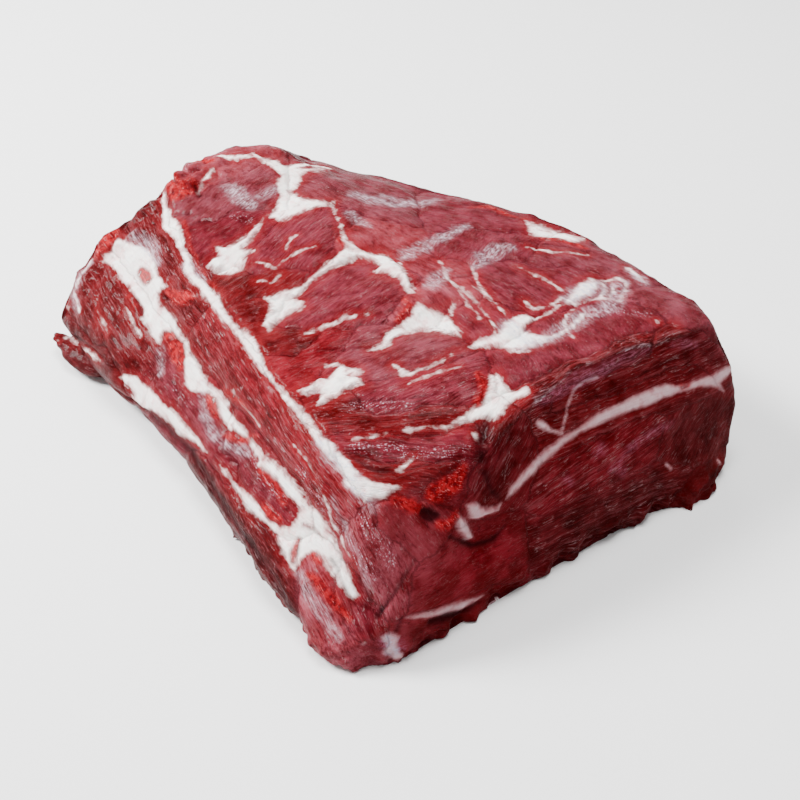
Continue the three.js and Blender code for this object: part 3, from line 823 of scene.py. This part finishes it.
def meat_material(name, shine, ragged, blush_and_sparkle, fat_painted_shade, veil_and_sheen_colour):
    """Lean with its fibres; over it silverskin, fat, torn spots, painted highlights and sheen, and painted
    shade in hollows.
    """
    material = bpy.data.materials.new(name)
    material.use_nodes = True
    tree = material.node_tree
    n = Nodes(tree)
    shader = tree.nodes["Principled BSDF"]
    place = tree.nodes.new("ShaderNodeTexCoord").outputs["Object"]
    grain = n.attribute("grain", "Vector")
    lean = n.attribute("lean", "Color")
    streak = n.attribute("streak")
    fine = n.noise(place, 1100.0, 3.0, 0.6)
    coarse = n.noise(place, 300.0, 4.0, 0.65)
    broad = n.noise(place, 85.0, 4.0, 0.6)
    patchy = n.noise(place, 150.0, 2.0, 0.5)
    bundle = n.noise(grain, 0.34, 4.0, 0.6)
    fibre = n.noise(grain, 1.25, 4.0, 0.65)

    line = n.math("ABSOLUTE", n.math("SUBTRACT", n.noise(grain, 0.24, 3.0, 0.6), 0.5))
    line_two = n.math("ABSOLUTE", n.math("SUBTRACT", n.noise(grain, 0.40, 3.0, 0.6), 0.48))
    deep = n.mix(1.0, lean, rgba((200, 150, 150)), "MULTIPLY")
    pale = n.mix(0.06, lean, lit((226, 130, 138)))
    flesh = n.mix(n.span(broad, 0.36, 0.64), deep, pale)
    darker = n.mix(1.0, flesh, rgba((160, 96, 100)), "MULTIPLY")
    paler = n.mix(0.32, flesh, lit((246, 140, 150)))
    flesh = n.mix(n.math("MULTIPLY", n.span(bundle, 0.52, 0.38, 0.0, 0.7), streak), flesh, darker)
    flesh = n.mix(n.math("MULTIPLY", n.span(bundle, 0.52, 0.64, 0.0, 0.8), streak), flesh, paler)
    flesh = n.mix(n.math("MULTIPLY", n.span(fibre, 0.48, 0.38, 0.0, 0.9), streak), flesh, darker)
    flesh = n.mix(n.math("MULTIPLY", n.span(fibre, 0.54, 0.64, 0.0, 1.0), streak), flesh, paler)
    dark_line = n.math("MULTIPLY", n.span(line, 0.020, 0.004), n.span(patchy, 0.45, 0.6, 0.1, 1.0))
    flesh = n.mix(n.math("MULTIPLY", dark_line, 0.5), flesh, lit((92, 8, 14)))
    light_line = n.math("MULTIPLY", n.span(line_two, 0.018, 0.003), n.span(patchy, 0.54, 0.40, 0.0, 1.0))
    light_line = n.math("MULTIPLY", light_line, streak)
    flesh = n.mix(n.math("MULTIPLY", light_line, 0.75), flesh, lit((250, 196, 200)))
    # Painted highlights: sparse pale sparkles along the fibres, weaker on the cut end.
    painted_sparkle = n.math("MULTIPLY", n.span(fine, 0.58, 0.68), n.span(fibre, 0.54, 0.64))
    flesh = n.mix(n.math("MULTIPLY", painted_sparkle, 0.6 * blush_and_sparkle), flesh, lit((255, 210, 216)))

    wander = n.math("ADD", n.math("MULTIPLY", n.math("SUBTRACT", coarse, 0.5), 2.2 * ragged),
                    n.math("MULTIPLY", n.math("SUBTRACT", fine, 0.5), 0.9 * ragged))
    stray = n.math("MULTIPLY", n.math("SUBTRACT", n.noise(grain, 0.5, 3.0, 0.65), 0.5), 3.4 * ragged)
    sway = n.math("MULTIPLY", n.math("SUBTRACT", patchy, 0.5), 1.8 * ragged)
    fat_d = n.math("ADD", n.math("ADD", n.attribute("fat"), wander), n.math("ADD", stray, sway))
    fat = n.span(fat_d, 1.5, -1.5)
    near_fat = n.span(fat_d, 6.5, 0.0, 0.0, blush_and_sparkle)
    blood_d = n.math("ADD", n.attribute("blood"), n.math("ADD", n.math("MULTIPLY", wander, 1.6), sway))
    blood = n.math("MULTIPLY", n.span(blood_d, 2.0, -1.6, 0.0, 0.95), n.span(coarse, 0.26, 0.46, 0.5, 1.0))
    strands = n.math("MULTIPLY", n.span(fibre, 0.40, 0.60, 0.15, 1.0), n.span(coarse, 0.42, 0.58, 0.3, 1.0))
    drift = n.math("ADD", n.math("MULTIPLY", stray, 1.8), n.math("MULTIPLY", sway, 2.4))
    veil_and_sheen_d = n.math("ADD", n.math("ADD", n.attribute("veil_and_sheen"), n.math("MULTIPLY", wander, 1.6)), drift)
    veil_and_sheen = n.math("MULTIPLY", n.span(veil_and_sheen_d, 3.4, -2.6), strands)

    colour = n.mix(near_fat, flesh, n.mix(0.6, flesh, lit((206, 44, 52))))
    # Silverskin over the lean; on the cut end its colour is a purple painted sheen.
    colour = n.mix(n.math("MULTIPLY", veil_and_sheen, 0.72), colour, veil_and_sheen_colour)
    fat_colour = n.mix(n.span(broad, 0.35, 0.65), rgba((255, 252, 247)), rgba((243, 230, 226)))
    fat_colour = n.mix(n.span(fat_d, -2.0, 0.4, 0.0, 0.4), fat_colour, rgba((228, 150, 150)))
    fat_colour = n.mix(n.span(fibre, 0.52, 0.34, 0.0, 0.25), fat_colour, rgba((214, 170, 172)))
    fat_colour = n.mix(n.span(patchy, 0.52, 0.66, 0.0, 0.5), fat_colour, rgba((232, 172, 172)))
    fat_colour = n.mix(n.span(coarse, 0.56, 0.70, 0.0, 0.35), fat_colour, rgba((214, 200, 208)))
    # On the cut end this greys the fat to pink grey: painted shade.
    fat_colour = n.mix(1.0, fat_colour, fat_painted_shade, "MULTIPLY")
    fat_colour = n.mix(n.math("MULTIPLY", veil_and_sheen, 0.75), fat_colour, rgba((164, 172, 194)))
    colour = n.mix(fat, colour, fat_colour)
    torn = n.mix(n.span(coarse, 0.38, 0.62), rgba((88, 5, 10)), rgba((152, 26, 32)))
    torn = n.mix(n.span(fibre, 0.56, 0.68, 0.0, 0.8), torn, rgba((204, 96, 96)))
    colour = n.mix(blood, colour, torn)
    # Painted highlights: pale glints of wet sheen along the fibres.
    painted_glint_area = n.span(n.math("ADD", n.attribute("painted_glint_area"), n.math("MULTIPLY", wander, 2.0)), 2.0, -2.5)
    glint = n.math("MULTIPLY", n.span(fine, 0.50, 0.66), n.span(fibre, 0.48, 0.62, 0.0, 0.75))
    colour = n.mix(n.math("MULTIPLY", painted_glint_area, glint), colour, rgba((216, 182, 196)))
    # Painted shade: the hollows, creases and the foot band darken towards near black.
    colour = n.mix(n.attribute("shade"), colour, rgba((26, 3, 5)))
    tree.links.new(colour, shader.inputs["Base Color"])

    rough = n.math("ADD", n.span(fine, 0.3, 0.7, 0.26, 0.48), n.math("MULTIPLY", fat, 0.06))
    tree.links.new(rough, shader.inputs["Roughness"])
    height = n.math("ADD", n.math("MULTIPLY", bundle, 1.0), n.math("MULTIPLY", fibre, 0.7))
    height = n.math("ADD", height, n.math("MULTIPLY", coarse, 0.6))
    height = n.math("ADD", height, n.math("MULTIPLY", fine, 0.3))
    height = n.math("SUBTRACT", height, n.math("MULTIPLY", dark_line, 0.4))
    height = n.math("ADD", height, n.math("MULTIPLY", fat, 0.2))
    bump = tree.nodes.new("ShaderNodeBump")
    bump.inputs["Strength"].default_value = 0.8
    bump.inputs["Distance"].default_value = 1.0 * MM
    tree.links.new(height, bump.inputs["Height"])
    tree.links.new(bump.outputs["Normal"], shader.inputs["Normal"])
    shader.inputs["Specular IOR Level"].default_value = 0.03 * shine
    shader.inputs["Specular Tint"].default_value = (1.0, 0.30, 0.34, 1.0)
    shader.inputs["Subsurface Weight"].default_value = 0.10
    shader.inputs["Subsurface Radius"].default_value = (1.0, 0.35, 0.25)
    shader.inputs["Subsurface Scale"].default_value = 2.0 * MM
    shader.inputs["Coat Weight"].default_value = 0.035 * shine
    shader.inputs["Coat Roughness"].default_value = 0.10
    return material


# Build.

def whole_skin():
    verts, faces, owner = [], [], []
    grown = []
    count = 0
    for k, name in enumerate(NODES):
        v, f = cad_copy(name, 0.0)
        g, _ = cad_copy(name, SEAL)
        verts.append(v)
        grown.append(g)
        faces.append(f + count)
        owner.append(np.full(len(f), k))
        count += len(v)
    verts = np.concatenate(verts)
    faces = np.concatenate(faces)
    owner = np.concatenate(owner)
    points, quads = largest_shell(*voxel_skin(np.concatenate(grown), faces))
    return Skin(points, quads), verts, faces, owner


def smooth_facets(skin):
    """Rounds off the CAD facets, keeps the block's true edges and says where they are."""
    skin.p = skin.spread(skin.p, 3)
    average = skin.spread(skin.normals(), 12)
    sharp = ramp(1.0 - np.linalg.norm(average, axis=1), 0.04, 0.14)
    sharp = skin.spread(sharp, 3)
    sharp *= 1.0 - 0.85 * ramp(-skin.p[:, 0], 125.0, 150.0) * ramp(skin.p[:, 1], 0.0, 30.0)
    foot = ramp(skin.p[:, 2], 0.6, 3.0)
    weight = 0.5 * (1.0 - 0.85 * sharp) * foot
    skin.p = skin.spread(skin.p, FACET_ROUNDS, weight)
    skin.p -= (SEAL * foot)[:, None] * skin.normals()
    return sharp


def surface_marks(skin, tree, sighted, cut_share, mine):
    """What the materials read at each vertex of the skin, and three values that only the relief needs."""
    p = skin.p
    warp = np.stack([noise(p, 10.0, SEED + k) for k in range(3)], 1) * 2.2
    warp += np.stack([noise(p, 4.0, SEED + 10 + k) for k in range(3)], 1) * 1.0
    loose = 1.0 - 0.7 * cut_share
    fat = edge_distance(p + 0.5 * loose[:, None] * warp, FAT, tree)
    place, pixel = in_picture(p + 0.35 * loose[:, None] * warp)
    tuft = np.full(len(p), REACH)
    for name, outline in PATCH.items():
        d = np.where(sighted > SHOWN_SHARE, patch_distance(place, pixel, outline), REACH)
        fat = np.minimum(fat, d)
        if name in TUFTS:
            tuft = np.minimum(tuft, d)
    fat += (0.5 * noise(p, 7.0, SEED + 60) + 0.4 * noise(p, 3.2, SEED + 61)) * loose + 0.45
    is_fat = np.isin(mine, FAT_NODES).astype(float)
    hidden_fat = (0.36 - skin.spread(is_fat, 16)) * 13.0
    hidden_fat += 2.2 * noise(p, 21.0, SEED + 90) + 1.3 * noise(p, 8.0, SEED + 91)
    fat = np.where(sighted > SHOWN_SHARE, fat, np.minimum(fat, hidden_fat))
    hollow = hollows(p + 0.3 * warp, SHADED_HOLLOWS, tree)
    soft = 2.2 + 8.0 * cut_share
    streak, gap, colour, grain = muscles(p + 0.25 * warp, p + warp, soft, sighted, tree)
    marks = {
        "lean": np.concatenate([colour, np.ones((len(p), 1))], 1),
        "grain": grain,
        "fat": fat,
        "veil_and_sheen": edge_distance(p + 0.5 * warp, VEIL_AND_SHEEN, tree, 1.25),
        "blood": edge_distance(p + 0.5 * warp, BLOOD, tree, 1.25),
        "painted_glint_area": edge_distance(p, PAINTED_GLINT_LINES, tree),
        # Painted shade: how dark the hollows are painted.
        "shade": np.clip(hollow * 0.42, 0.0, 0.85),
        "streak": streak * (1.0 - 0.4 * cut_share),
    }
    return marks, gap, tuft, hollow


def relief(skin, sharp, sighted, cut_share, marks, gap, tuft, hollow):
    """How far outwards each vertex of the skin moves, in millimetres."""
    p = skin.p
    fat = marks["fat"]
    calm = 1.0 - 0.8 * cut_share

    high, wide = RELIEF["waves"]
    height = high * layered(p, wide, SEED + 20, 4) * calm
    high, wide = RELIEF["hidden waves"]
    height += (1.0 - sighted) * high * layered(p, wide, SEED + 95, 3)
    high, wide = RELIEF["lobes"]
    deep, narrow = RELIEF["furrows"]
    height += (high * (1.0 - np.exp(-gap / wide)) - deep * np.exp(-(gap / narrow) ** 2)) * calm
    high, wide = RELIEF["bundles"]
    height += high * layered(marks["grain"], wide, SEED + 30, 2) * ramp(fat, -0.5, 1.5) * calm
    high, wide = RELIEF["edges"]
    height += high * skin.spread(sharp, 12) * layered(p, wide, SEED + 70, 3)

    high, wide = RELIEF["foot"]
    low = ramp(FOOT_HEIGHT - p[:, 2], 0.0, 12.0) * (p[:, 0] > FOOT_FROM)
    height += low * (1.0 + high * layered(p, wide, SEED + 75, 3))
    high, wide = RELIEF["old end"]
    height += high * ramp(-p[:, 0], *OLD_END) * sighted * layered(p, wide, SEED + 85, 3)
    high, wide = RELIEF["tufts"]
    height += 1.5 * ramp(-tuft, -0.3, 1.4) * (0.7 + high * noise(p, wide, SEED + 77))
    knob = np.exp(-(((p - KNOB) / KNOB_REACH) ** 2).sum(1))
    height += knob * (3.4 + 5.0 * np.abs(noise(p, 7.0, SEED + 80)))
    height -= knob * 2.4 * np.exp(-(noise(p, 9.0, SEED + 81) / 0.14) ** 2)

    high, wide = RELIEF["fat"]
    height += high * ramp(-fat, -0.4, 1.6) * noise(p, wide, SEED + 41)
    height -= 0.35 * ramp(fat, -0.2, 0.6) * ramp(2.4 - fat, 0.0, 1.6)
    height += 0.35 * ramp(-marks["blood"], -0.6, 1.2)
    height -= hollow * (1.0 - 0.6 * cut_share)
    return height - SINK


def build():
    skin, cad_points, cad_faces, owner = whole_skin()
    sharp = smooth_facets(skin)
    n = skin.spread(skin.normals(), 4)
    n /= np.linalg.norm(n, axis=1)[:, None]
    tree = skin.tree()
    p = skin.p
    sighted = skin.spread(sight(p, n, tree), 6)
    cut_share = ramp(skin.spread(n[:, 0], 10), 0.55, 0.75) * (p[:, 0] > CUT_FROM)
    cad = BVHTree.FromPolygons(cad_points.tolist(), cad_faces.tolist())
    mine = np.array([owner[cad.find_nearest(Vector(q))[2]] for q in p])
    marks, gap, tuft, hollow = surface_marks(skin, tree, sighted, cut_share, mine)

    foot = np.maximum(ramp(p[:, 2], 0.5, 3.5), ramp(n[:, 2], -0.75, -0.2))
    height = relief(skin, sharp, sighted, cut_share, marks, gap, tuft, hollow)
    moved = p + (height * foot)[:, None] * n
    moved[:, 2] = np.maximum(moved[:, 2], 0.0)
    skin.p = moved
    make_pieces(skin, mine, cut_share, marks, (cad_points, cad_faces, owner, cad))


def inner_wall(k, cad_points, cad_faces, owner, cad):
    """The triangles of CAD piece k that face its neighbours, and which of their vertices are on the rim."""
    faces = cad_faces[owner == k]
    corners = cad_points[faces]
    across = np.cross(corners[:, 1] - corners[:, 0], corners[:, 2] - corners[:, 0])
    across /= np.maximum(np.linalg.norm(across, axis=1), 1e-9)[:, None]
    middle = corners.mean(1)
    inner = np.zeros(len(faces), bool)
    for i, (m, a) in enumerate(zip(middle, across)):
        inner[i] = cad.ray_cast(Vector(m + WALL_START * a), Vector(a), WALL_LOOK)[0] is not None
    used, index = np.unique(faces[inner], return_inverse=True)
    walls = index.reshape(-1, 3)
    rim = np.isin(used, faces[~inner])
    return cad_points[used], walls, rim


def sunk_wall(wall, faces, skin, normals, tree):
    """Inner walls cut finer and kept well under the skin, as places, triangles and normals."""
    bm = bmesh.new()
    corners = [bm.verts.new(p) for p in wall]
    for face in faces.tolist():
        trio = [corners[v] for v in face]
        if bm.faces.get(trio) is None:
            bm.faces.new(trio)
    for _ in range(WALL_ROUNDS):
        wide = [e for e in bm.edges if e.calc_length() > WALL_STEP]
        bmesh.ops.subdivide_edges(bm, edges=wide, cuts=1)
        bmesh.ops.triangulate(bm, faces=[f for f in bm.faces if len(f.verts) > 3])
    for v in [v for v in bm.verts if not v.link_faces]:
        bm.verts.remove(v)
    for v in bm.verts:
        _, nearest, _ = tree.find(v.co)
        out = Vector(normals[nearest])
        height = (v.co - Vector(skin.p[nearest])).dot(out)
        if height > -WALL_DEPTH:
            v.co -= (height + WALL_DEPTH) * out
    bm.normal_update()
    bm.verts.index_update()
    places = np.array([v.co[:] for v in bm.verts])
    triangles = np.array([[v.index for v in f.verts] for f in bm.faces])
    turned = np.array([v.normal[:] for v in bm.verts])
    bm.free()
    return places, triangles, turned


def directed_rim(faces):
    """The directed edges of the faces that no other face shares, as pairs of vertices."""
    sides = faces.shape[1]
    edges = np.concatenate([np.stack([faces[:, k], faces[:, (k + 1) % sides]], 1) for k in range(sides)])
    held = set(map(tuple, edges.tolist()))
    return sorted((a, b) for a, b in held if (b, a) not in held)


def closing_strip(quads, walls, places):
    """Triangles that join the open edge of a patch of skin to the rim of its inner walls."""
    onward = {b: a for a, b in directed_rim(walls)}
    back = {b: a for a, b in onward.items()}
    rim = np.array(sorted(set(onward) | set(back)))
    rim_places = places[rim]
    pairs = directed_rim(quads)
    facing = {}
    for a in sorted({v for pair in pairs for v in pair}):
        far = ((rim_places - places[a]) ** 2).sum(1)
        if far.min() < STRIP_REACH ** 2:
            facing[a] = int(rim[far.argmin()])
    strip = []
    for a, b in pairs:
        if a not in facing or b not in facing:
            continue
        strip.append((b, a, facing[a]))
        for way in (onward, back):
            path = [facing[a]]
            while path[-1] != facing[b] and len(path) < STRIP_STEPS and path[-1] in way:
                path.append(way[path[-1]])
            if path[-1] == facing[b]:
                strip += [(b, u, v) for u, v in zip(path[:-1], path[1:])]
                break
    return strip


def piece_walls(k, quads, skin, normals, tree, cad_parts):
    """The inner walls of piece k, their rim drawn to the open edge of its patch of skin."""
    wall, faces, rim = inner_wall(k, *cad_parts)
    edge = np.unique(directed_rim(quads))
    for i in np.nonzero(rim)[0]:
        nearest = edge[np.argmin(((skin.p[edge] - wall[i]) ** 2).sum(1))]
        wall[i] = skin.p[nearest] - WALL_DEPTH * normals[nearest]
    wall, same = np.unique(np.round(wall, 3), axis=0, return_inverse=True)
    faces = same.ravel()[faces]
    flat = (faces == np.roll(faces, 1, axis=1)).any(1)
    return sunk_wall(wall, faces[~flat], skin, normals, tree)


def write_marks(mesh, marks, used, wall, is_fat):
    """The skin's marks as attributes of the mesh; the inner walls are plain lean or plain fat."""
    plain = {
        "lean": marks["lean"][used].mean(0),
        "fat": -3.0 if is_fat else REACH,
        "veil_and_sheen": REACH,
        "blood": REACH,
        "painted_glint_area": REACH,
        "shade": 0.0,
        "streak": 0.4,
    }
    kinds = {"lean": ("FLOAT_COLOR", "color"), "grain": ("FLOAT_VECTOR", "vector")}
    for key, values in marks.items():
        kind, field = kinds.get(key, ("FLOAT", "value"))
        if key == "grain":
            inside = wall
        else:
            inside = np.tile(plain[key], (len(wall), 1)).reshape(-1, *values.shape[1:])
        both = np.concatenate([values[used], inside])
        attribute = mesh.attributes.new(key, kind, "POINT")
        attribute.data.foreach_set(field, both.astype(np.float32).ravel())


def make_pieces(skin, mine, cut_share, marks, cad_parts):
    outside = meat_material("meat", 1.0, 1.0, 0.85, rgba((255, 255, 255)), rgba((188, 166, 176)))
    # The cut end's material: its fat greyed as painted shade, and its veil colour a purple painted sheen.
    cut = meat_material("cut meat", 0.2, 0.5, 0.3, rgba((188, 160, 168)), rgba((150, 84, 104)))
    normals = skin.normals()
    votes = np.stack([(mine[skin.q] == k).sum(1) for k in range(len(NODES))], 1)
    face_owner = np.argmax(votes, 1)
    tree = KDTree(len(skin.p))
    for i, place in enumerate(skin.p):
        tree.insert(place, i)
    tree.balance()
    for k, name in enumerate(NODES):
        quads = skin.q[face_owner == k]
        used = np.unique(quads)
        index = np.zeros(skin.n, np.int64)
        index[used] = np.arange(len(used))
        wall, wall_faces, wall_normals = piece_walls(k, quads, skin, normals, tree, cad_parts)
        places = np.concatenate([skin.p[used], wall])
        walls = wall_faces + len(used)
        inner_faces = walls.tolist() + closing_strip(index[quads], walls, places)
        mesh = bpy.data.meshes.new(name + "_meat")
        mesh.from_pydata((places * MM).tolist(), [], index[quads].tolist() + inner_faces)
        write_marks(mesh, marks, used, wall, k in FAT_NODES)
        mesh.polygons.foreach_set("use_smooth", np.ones(len(mesh.polygons), bool))
        mesh.normals_split_custom_set_from_vertices(np.concatenate([normals[used], wall_normals]).tolist())
        thing = bpy.data.objects.new(name + "_meat", mesh)
        bpy.context.scene.collection.objects.link(thing)
        mesh.materials.append(outside)
        mesh.materials.append(cut)
        on_cut = np.concatenate([cut_share[quads].mean(1) > 0.5, np.zeros(len(inner_faces), bool)])
        mesh.polygons.foreach_set("material_index", on_cut.astype(np.int32))
        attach(thing, "root")
        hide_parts(name)
        print(name, 2 * len(quads) + len(inner_faces), "triangles")


def floor():
    mesh = bpy.data.meshes.new("floor")
    mesh.from_pydata([(-4, -4, 0), (4, -4, 0), (4, 4, 0), (-4, 4, 0)], [], [(0, 1, 2, 3)])
    thing = bpy.data.objects.new("floor", mesh)
    bpy.context.scene.collection.objects.link(thing)
    material = bpy.data.materials.new("floor")
    material.use_nodes = True
    shader = material.node_tree.nodes["Principled BSDF"]
    shader.inputs["Base Color"].default_value = (0.86, 0.86, 0.86, 1.0)
    shader.inputs["Roughness"].default_value = 0.9
    mesh.materials.append(material)


def lamp(name, place, aim, size, power):
    data = bpy.data.lights.new(name, "AREA")
    data.size = size
    data.energy = power
    thing = bpy.data.objects.new(name, data)
    thing.location = place
    thing.rotation_euler = (Vector(aim) - Vector(place)).to_track_quat("-Z", "Y").to_euler()
    bpy.context.scene.collection.objects.link(thing)


def lights():
    lamp("key", (-0.95, -0.80, 1.15), (0.0, 0.0, 0.05), 0.55, 84.0)
    lamp("top", (-0.05, 0.15, 1.5), (0.0, 0.0, 0.05), 0.7, 34.0)
    lamp("sheen", (-0.85, 0.65, 0.95), (0.0, 0.0, 0.08), 0.5, 4.0)
    world = bpy.data.worlds.new("soft light")
    world.use_nodes = True
    world.node_tree.nodes["Background"].inputs["Color"].default_value = (1.0, 1.0, 1.0, 1.0)
    world.node_tree.nodes["Background"].inputs["Strength"].default_value = 0.5
    bpy.context.scene.world = world


def camera():
    data = bpy.data.cameras.new("camera")
    data.lens = LENS
    data.sensor_width = SENSOR
    thing = bpy.data.objects.new("camera", data)
    thing.location = EYE * MM
    thing.rotation_euler = Vector(-BACK).to_track_quat("-Z", "Y").to_euler()
    bpy.context.scene.collection.objects.link(thing)
    bpy.context.scene.camera = thing


camera()
floor()
lights()
build()
